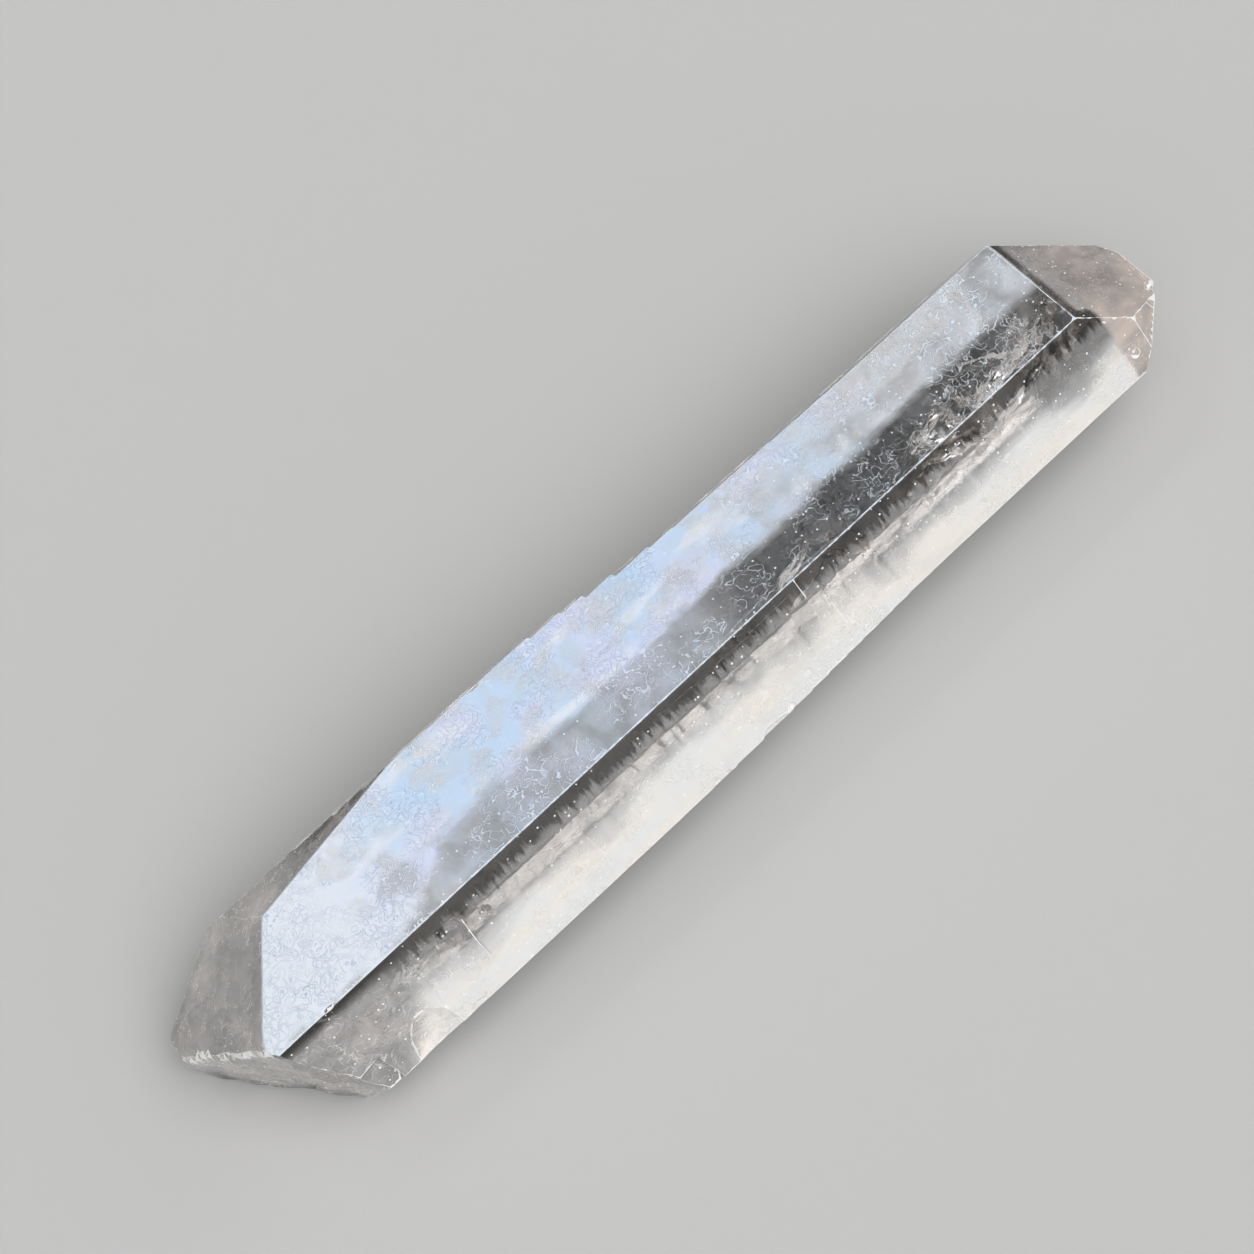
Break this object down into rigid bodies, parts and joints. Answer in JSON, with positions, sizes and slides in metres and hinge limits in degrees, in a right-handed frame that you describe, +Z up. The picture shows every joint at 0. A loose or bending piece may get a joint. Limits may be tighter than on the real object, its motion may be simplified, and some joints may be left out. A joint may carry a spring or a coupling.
{
  "type": "lemurian quartz point",
  "caption": "Long clear quartz crystal point, six-sided with a faceted tip, ladder-like growth ledges and a broken base, lying on one prism face.",
  "frame": {"origin": "centre of the bounding box, on the surface that the crystal rests on", "axes": "+X along the crystal's length towards its tip, +Z up from the face that it rests on"},
  "size_m": [0.1894, 0.0384, 0.03],
  "materials": {
    "quartz": "polished"
  },
  "bodies": {
    "root": {"crystal": "quartz"}
  },
  "joints": []
}
